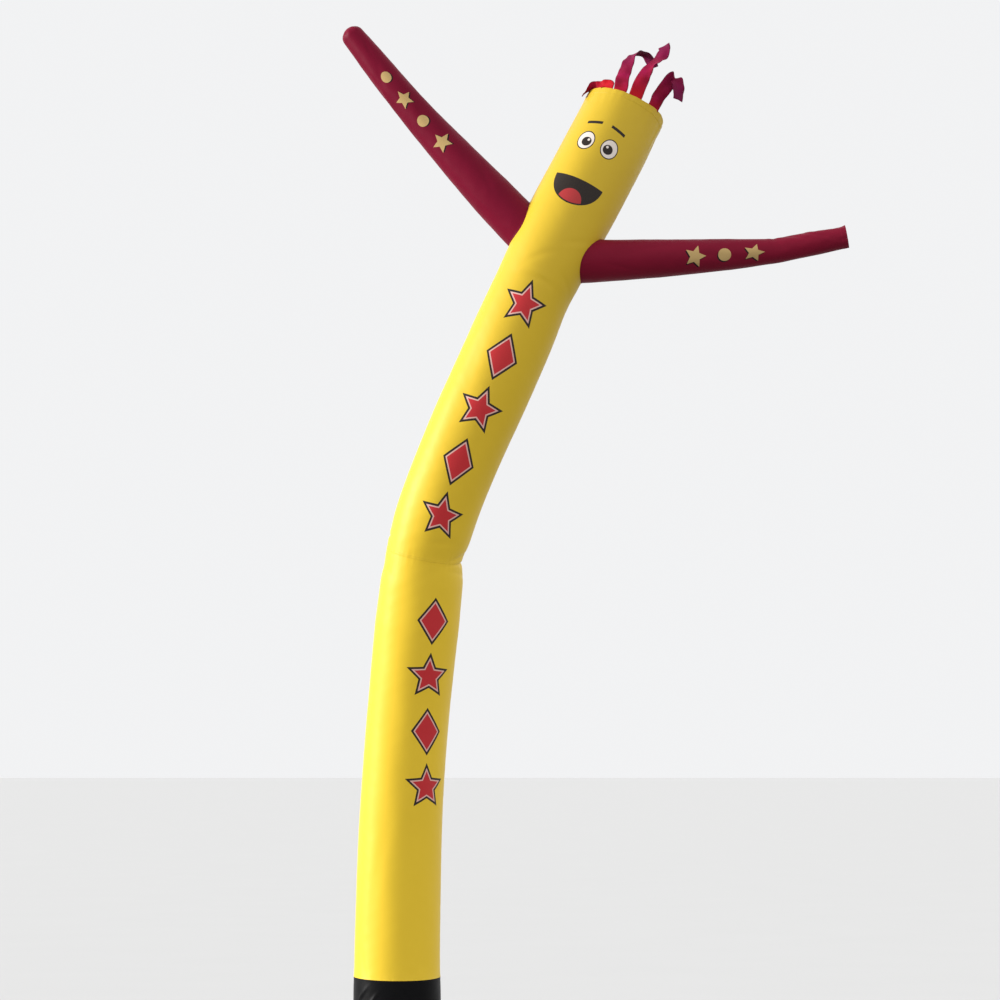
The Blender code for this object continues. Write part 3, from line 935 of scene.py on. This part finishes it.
def body_coordinates(points, guess):
    """Length along the body, azimuth and distance from its middle line for each point."""
    along = np.full(points.shape[:-1], float(guess))
    for _ in range(NEARING_STEPS):
        along += np.sum((points - body_line.point(along)) * body_line.axis(along), axis=-1)
    away = points - body_line.point(along)
    right, front = body_line.sides(along)
    azimuth = np.arctan2(np.sum(away * right, axis=-1), np.sum(away * front, axis=-1))
    return along, azimuth, np.linalg.norm(away, axis=-1)


def roots(line, guess, azimuths):
    """For each azimuth of an arm, how far along it the arm leaves the body."""
    steps = np.arange(*ROOT_SEARCH, ROOT_STEP)
    along, turn = np.meshgrid(steps, azimuths, indexing="ij")
    points = line.place(along, turn, line.value(3, along) / 2)
    body_along, body_azimuth, distance = body_coordinates(points, guess)
    clear = distance - body_surface(body_along, body_azimuth) - GAP
    first = np.argmax(clear > 0, axis=0)
    columns = np.arange(len(azimuths))
    below, above = clear[first - 1, columns], clear[first, columns]
    return steps[first - 1] + ROOT_STEP * (-below) / (above - below)


def arm_surface(line, rows, seed):
    def surface(along, azimuth):
        radius = line.value(3, along) / 2
        total = radius + folds(rows, along, azimuth, radius)
        total += drift(along * 1.4, azimuth, 0.0020, seed) * np.clip((along - 0.35) / 0.25, 0.2, 1.0)
        total += drift(along * 4.0, azimuth, 0.0005, seed + 1, ((5, 9.0), (8, 17.0)))
        return total
    return surface


def arm_place(line, surface, root_at, end, tip=None, hem=False):
    """Levels run from 0 at the sewn edge to 1 at the end, and past 1 over a round tip."""
    def place(level, azimuth, inset):
        root = root_at(azimuth)
        along = root + np.minimum(level, 1.0) * (end - root)
        away = along - root
        radius = surface(along, azimuth) + seam_ridge(away, 0.0016, 0.005)
        radius += puckers(away, azimuth, 0.0022, 0.035, (11, 17, 29), 23) * np.clip(away / 0.01, 0, 1)
        if hem:
            radius += hem_ridge(along, end) * (inset == 0)
            radius += puckers(along - end, azimuth, 0.0030, 0.030, (5, 8, 13), 29)
            ear = np.exp(-(turned(azimuth, -92) / 20) ** 2)
            radius += 0.007 * ear * np.clip((along - end) / 0.022 + 1.0, 0.0, 1.0)
        radius = radius - inset
        if tip is not None:
            angle = np.clip(level - 1.0, 0.0, 1.0) * math.pi / 2
            gathers = 1 + 0.05 * np.sin(angle) * np.cos(9 * azimuth + 0.7) * np.cos(angle)
            radius = np.maximum(radius * np.cos(angle) * gathers, WELD * 10)
            along = along + (tip - inset - end) * np.sin(angle)
        return line.place(along, azimuth, radius)
    return place


def arm_maps(line, root_at, end, tip=None):
    mean = float(np.mean(line.rows[:, 3])) / 2

    def maps(level, azimuth):
        root = root_at(azimuth)
        along = root + np.minimum(level, 1.0) * (end - root)
        if tip is not None:
            along = along + np.clip(level - 1.0, 0.0, 1.0) * (tip - end)
        period = np.full(len(level), 2 * math.pi * mean)
        return {"cloth": (period, azimuth * mean, along), "seam": (period, azimuth * mean, along - root)}
    return maps


def root_curve(line, guess):
    azimuths = np.radians(np.arange(-180, 181, 3.0))
    found = roots(line, guess, azimuths)
    print("arm leaves the body from", found.min().round(3), "to", found.max().round(3), "m")
    return lambda azimuth: np.interp(azimuth, azimuths, found)


left_root = root_curve(left_line, LEFT_SHOULDER)
right_root = root_curve(right_line, RIGHT_SHOULDER)

# %% Upper length with its arm holes
HOLE_LIP = 0.003            # how far the body's cloth reaches in past an arm's wall
HOLE_SIDE = 0.04            # cloth this far along the arm is on its own side of the body


def open_arm_hole(bm, outer_rings, line, spots):
    """Takes out the cloth inside an arm and draws the hole's edge onto a circle."""
    start, axis = Vector(line.points[0]), Vector(line.axis(np.array(0.1)))
    radius = float(line.value(3, 0.2)) / 2 - HOLE_LIP

    def offset(co):
        away = co - start
        forwards = away.dot(axis)
        return forwards, away - axis * forwards

    def other_side(spot):
        return 2 * outer_rings - 1 - spot[0], spot[1]

    inside_arm = set()
    for vert, spot in spots.items():
        forwards, away = offset(vert.co)
        if spot[0] < outer_rings and forwards > HOLE_SIDE and away.length < radius:
            inside_arm |= {spot, other_side(spot)}

    gone = [face for face in bm.faces
            if all(spots.get(vert) in inside_arm for vert in face.verts)]
    print("arm hole:", len(gone), "faces taken out")
    open_before = {vert for vert in bm.verts if vert.is_boundary}
    bmesh.ops.delete(bm, geom=gone, context="FACES")
    for vert in [vert for vert in spots if not vert.is_valid]:
        del spots[vert]
    hole_edge = [vert for vert in bm.verts if vert.is_boundary and vert not in open_before]
    for vert in hole_edge:
        forwards, away = offset(vert.co)
        vert.co = start + axis * forwards + away.normalized() * radius
    places = {spots[vert]: vert.co.copy() for vert in hole_edge}
    outer = [vert for vert in hole_edge if spots[vert][0] < outer_rings]
    edges = [edge for edge in bm.edges if edge.is_boundary and not set(edge.verts).isdisjoint(outer)]
    made = bmesh.ops.extrude_edge_only(bm, edges=edges)["geom"]
    fresh = {item for item in made if isinstance(item, bmesh.types.BMVert)}
    for vert in outer:
        for edge in vert.link_edges:
            if edge.other_vert(vert) in fresh:
                edge.other_vert(vert).co = places[other_side(spots[vert])]


marks = (MID_SEAM + GAP / 2, MID_SEAM + BEND_REACH, RIM - HEM_WIDTH, RIM)
levels = spaced(marks, fine=0.0018, coarse=0.0125, reach=0.10)
bm, rings = tube_of_cloth(levels, SEGMENTS, body_place(body_surface, (RIM,)), body_maps)
spots = spots_of(rings)
for line in (left_line, right_line):
    open_arm_hole(bm, len(levels), line, spots)
upper_cloth = finished(
    bm, "upper_cloth", yellow_nylon, ["body_upper", "body_chest", "body_head"])

# %% [markdown]
# The arms are tapered sleeves of the same nylon in red. The left one ends in a round gathered tip.
# The right one is cut straight and hemmed, and flutters a little at its end, where the hem's top
# corner stands up like a small ear.

# %% Arms
ARM_SEGMENTS = 112
TIP_LEVELS = 12
left_surface = arm_surface(left_line, LEFT_ARM_FOLD_ROWS, 41)
right_surface = arm_surface(right_line, RIGHT_ARM_FOLD_ROWS, 53)

levels = spaced((0.0, 0.02, 1.0), fine=0.0014, coarse=0.0075, reach=0.08)
levels += [1 + share for share in np.linspace(0, 1, TIP_LEVELS + 1)[1:]]
bm = tube_of_cloth(
    levels, ARM_SEGMENTS,
    arm_place(left_line, left_surface, left_root, LEFT_ARM_DOME, tip=LEFT_ARM_TIP),
    arm_maps(left_line, left_root, LEFT_ARM_DOME, LEFT_ARM_TIP), round_tip=True)[0]
left_arm_cloth = finished(bm, "left_arm_cloth", left_red_nylon, ["arm_left", "arm_left_end"])

levels = spaced((0.0, 0.02, 0.975, 1.0), fine=0.0014, coarse=0.0075, reach=0.08)
bm = tube_of_cloth(
    levels, ARM_SEGMENTS,
    arm_place(right_line, right_surface, right_root, RIGHT_ARM_END, hem=True),
    arm_maps(right_line, right_root, RIGHT_ARM_END))[0]
right_arm_cloth = finished(bm, "right_arm_cloth", right_red_nylon, ["arm_right"])

# %% [markdown]
# Four ribbons are sewn inside the rim of the head and blow about in the air that leaves there. Each
# is one strip: a line across its width is extruded along a smooth path, cupped a little and with a
# wavy edge. The paths are the part's, except that the first ribbon lies up to 12 mm lower and the
# ends of the last two are turned further, to match the photograph.

# %% Streamers
STREAMER_WIDTH = 0.075
STREAMER_CLOTH = 0.0012
STREAMER_SEWN = 0.035
STREAMER_CLEARS = 0.002
STREAMER_SEAT = CLOTH + 0.0017
STREAMER_CUP = 0.0032
STREAMER_FLUTTER = 0.0022
STREAMER_STEPS = 12
STREAMER_FACES = 10
# The third value is how much further each ribbon's painted light, its brighter red, reaches.
# The root's azimuth, the flat length and how much further it stays red, in metres, then rows of:
# right, front and up in millimetres from the rim's middle, the azimuth that the width points along,
# and its tilt, both in degrees
STREAMERS = {
    "streamer_1": (-38, 0.31, 0.08, (
        (-136, 171, 28, 50, 0), (-146, 148, 42, 40, 40), (-168, 122, 33, 26, 70),
        (-190, 97, 26, 12, 44), (-207, 74, 27, 0, 12), (-234, 48, -4, 0, -25),
        (-241, 36, -24, 0, -50))),
    "streamer_2": (-17, 0.51, -0.05, (
        (-66, 208, 36, 74, 0), (-84, 191, 103, 66, 0), (-95, 170, 201, 54, 0),
        (-94, 155, 273, 32, 0), (-72, 145, 311, 15, 0), (-32, 135, 323, 20, 0),
        (2, 125, 307, 35, 0), (32, 115, 275, 50, 0))),
    "streamer_3": (7, 0.45, 0.03, (
        (24, 216, 34, 97, 0), (18, 221, 95, 88, 0), (16, 223, 162, 64, 0),
        (23, 223, 221, 40, 0), (39, 220, 267, 46, 0), (50, 214, 309, 58, -12),
        (47, 206, 357, 50, -22), (36, 200, 385, 44, -24))),
    "streamer_4": (38, 0.45, -0.03, (
        (136, 173, 34, 126, 0), (137, 184, 100, 114, 0), (147, 196, 165, 100, 0),
        (158, 209, 216, 94, 0), (176, 217, 222, 92, 0), (202, 219, 186, 106, 0),
        (222, 217, 148, 122, 0), (238, 213, 112, 130, 0))),
}


def smooth_path(points, steps):
    """Points on a curve through each given point (Catmull-Rom)."""
    ends = [points[0] * 2 - points[1]] + points + [points[-1] * 2 - points[-2]]
    path = []
    for before, here, there, after in zip(ends, ends[1:], ends[2:], ends[3:]):
        for step in range(steps):
            t = step / steps
            path.append(0.5 * (here * 2 + (there - before) * t
                               + (before * 2 - here * 5 + there * 4 - after) * t ** 2
                               + (here * 3 - before - there * 3 + after) * t ** 3))
    return path + [points[-1]]


def rim_point(point):
    """A point in the rim's own frame, moved to where the rim is."""
    right, front = body_line.sides(np.array(RIM))
    axis = body_line.axis(np.array(RIM))
    place = body_line.point(np.array(RIM)) + right * point.x - front * point.y + axis * point.z
    return Vector(place)


def streamer_places(root_azimuth, rows, rim_radius):
    root = math.radians(root_azimuth)
    outwards = Vector((math.sin(root), -math.cos(root), 0.0))
    places = []
    for up in (-STREAMER_SEWN, -STREAMER_SEWN / 2, STREAMER_CLEARS):
        point = outwards * (rim_radius - STREAMER_SEAT) + Vector((0.0, 0.0, up))
        places.append((point, root_azimuth + 90, 0, 1.0))
    for right, front, up, across, tilt in rows:
        places.append((Vector((right, -front, up)) / 1000, across, tilt, 0.0))
    return places


def ribbon_width(places, index, along):
    """Where a ribbon's width points at a step of its path, and how far it follows the rim."""
    row = min(index // STREAMER_STEPS, len(places) - 2)
    share = index / STREAMER_STEPS - row
    share = share * share * (3 - 2 * share)
    azimuth, tilt, follows = (here * (1 - share) + there * share for here, there in
                              zip(places[row][1:], places[row + 1][1:]))
    azimuth, tilt = math.radians(azimuth), math.radians(tilt)
    across = Vector((math.sin(azimuth) * math.cos(tilt), -math.cos(azimuth) * math.cos(tilt),
                     math.sin(tilt)))
    return (across - along * across.dot(along)).normalized(), follows


def ribbon_waves(share, run, seed):
    """How far the cloth stands off its path, cupped across and fluttering at its edges."""
    cup = STREAMER_CUP * (math.cos(share * 2 * math.pi) - 0.3) * math.sin(run * 31 + seed)
    flutter = STREAMER_FLUTTER * abs(share * 2) ** 3 * math.sin(run * 95 + seed * 2 + share * 5)
    free = min(1.0, max(0.0, (run - 0.055) / 0.06))
    return (cup + flutter) * free


def ribbon(name, root_azimuth, red_for, rows, finish, seed):
    """A strip of cloth along a path, with its maps in metres."""
    rim_radius = TUBE_DIAMETER / 2 * float(body_line.value(3, RIM))
    rim_radius += float(dents(np.array(RIM), np.array(math.radians(root_azimuth))))
    places = streamer_places(root_azimuth, rows, rim_radius)
    path = smooth_path([place[0] for place in places], STREAMER_STEPS)
    bm = bmesh.new()
    layer = bm.loops.layers.uv.new("cloth")
    line, spots, run = None, {}, 0.0
    for index, point in enumerate(path):
        before, after = path[max(index - 1, 0)], path[min(index + 1, len(path) - 1)]
        along = (after - before).normalized()
        run += (point - before).length if index else 0.0
        across, follows = ribbon_width(places, index, along)
        normal = across.cross(along)
        if line is None:
            line = [bm.verts.new() for _ in range(STREAMER_FACES + 1)]
            edges = [bm.edges.new(pair) for pair in zip(line, line[1:])]
        else:
            edges, line = extruded(bm, edges, line)
        for face, vert in enumerate(line):
            share = face / STREAMER_FACES - 0.5
            offset = STREAMER_WIDTH * share
            sag = offset ** 2 / (2 * (rim_radius - STREAMER_SEAT)) * follows
            lift = ribbon_waves(share, run, seed) - sag
            place = point + across * offset + normal * lift
            if follows > 0:
                turn = np.array(math.atan2(place.x, -place.y))
                flat = Vector((place.x, place.y, 0.0))
                seat = float(body_surface(np.array(RIM + min(place.z, 0.0)), turn)) - STREAMER_SEAT
                place += flat.normalized() * (seat - flat.length) * follows
            vert.co = rim_point(place)
            spots[vert] = (offset, run - red_for)
    for face in bm.faces:
        for loop in face.loops:
            loop[layer].uv = spots[loop.vert]
    piece = finished(bm, name, finish, [name.replace("_ribbon", "")])
    print(name, "is", round(run, 3), "m long")
    thickness = piece.modifiers.new("thickness", "SOLIDIFY")
    thickness.thickness = STREAMER_CLOTH
    thickness.offset = 0.0


def ribbon_finish():
    """The same red cloth, with painted light near its root and painted shade at its end and edges."""
    finish = Finish("red_streamer", Specular_IOR_Level=0.05)
    across, upwards = finish.map("cloth")
    place = finish.object_place()
    cloudy = finish.noise(place, 14.0, 3.0)
    pink = finish.colour(((cloudy - 0.42) * 3.0).clamped(), (0.24, 0.006, 0.030), (0.33, 0.009, 0.066))
    # Painted light: near its root the ribbon is a brighter red, as if lit through, before it turns pink.
    away = ((upwards - 0.04) / 0.12).clamped()
    red = finish.colour(away, (0.48, 0.009, 0.018), pink)
    # Painted shade: towards its end the ribbon darkens to plum.
    plum = finish.colour(((upwards - 0.20) / 0.2).clamped() * 0.6, red, (0.10, 0.008, 0.060))
    # Painted shade: a dark band along each edge of the ribbon.
    edge = ((abs(across) - STREAMER_WIDTH / 2 + 0.0035) / 0.002).clamped()
    finish.set("Base Color", finish.colour(edge * 0.75, plum, (0.09, 0.006, 0.028)))
    lines = thread_lines(across, upwards)
    finish.bumped(0.6, 0.001, cloudy * 1.2 + lines * 0.12)
    finish.set("Roughness", cloudy * 0.2 + 0.42)
    return finish


red_streamer = ribbon_finish()
for seed, (name, (azimuth, length, red_for, rows)) in enumerate(STREAMERS.items()):
    ribbon(name + "_ribbon", azimuth, red_for, rows, red_streamer, seed + 1.0)
